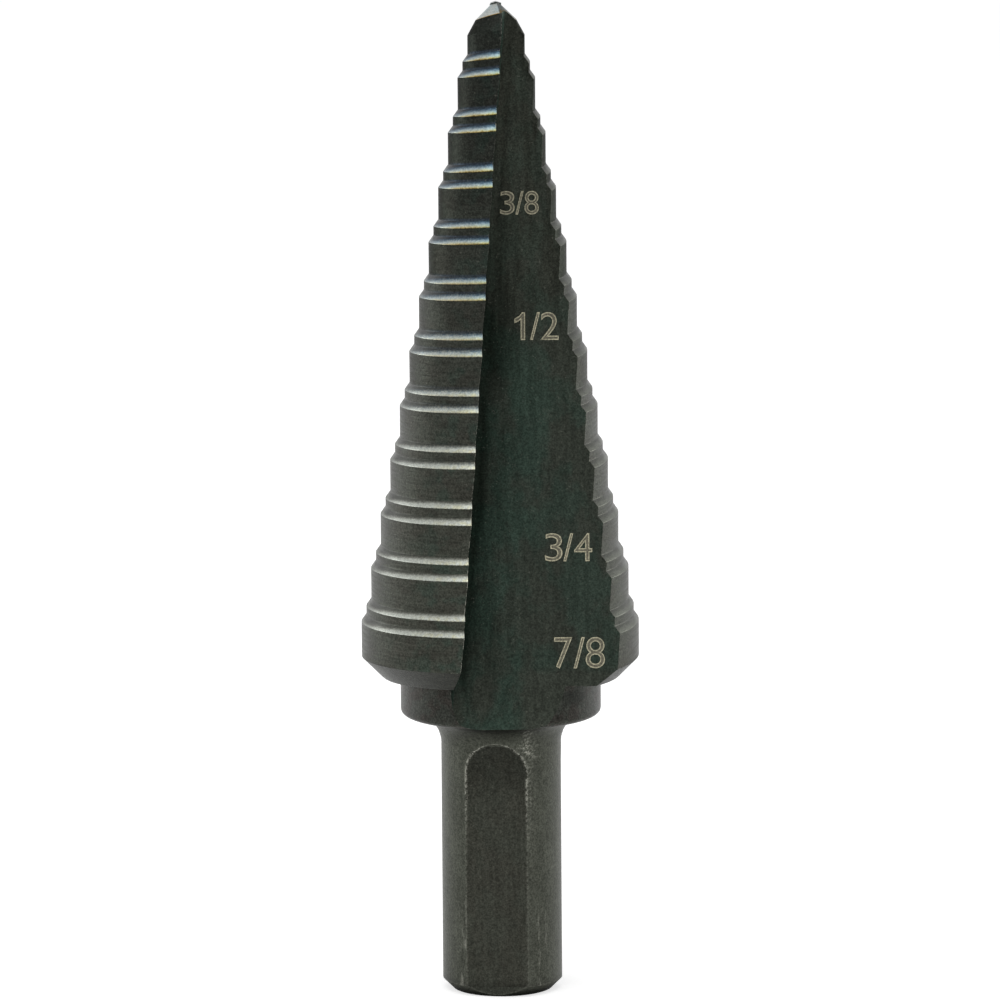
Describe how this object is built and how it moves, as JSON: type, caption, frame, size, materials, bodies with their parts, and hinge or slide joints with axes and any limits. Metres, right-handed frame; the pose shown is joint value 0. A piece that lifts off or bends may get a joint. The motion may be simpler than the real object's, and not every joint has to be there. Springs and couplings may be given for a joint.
{
  "type": "step drill",
  "caption": "Stepped cone drill with straight flutes, a ground point, a collar and a shank with flats; opens round holes in sheet metal to a row of sizes.",
  "frame": {"origin": "centre of the shank's end face, on the surface that the bit stands on", "axes": "+Z along the bit's axis from the shank's end to the point; the first flute opens towards -Y, and +X is to the right of it"},
  "size_m": [0.022, 0.0214, 0.0787],
  "materials": {
    "black_oxide_steel": "black oxide on ground high-speed steel, bright at the point"
  },
  "bodies": {
    "root": {"step_drill": "black_oxide_steel"}
  },
  "joints": []
}
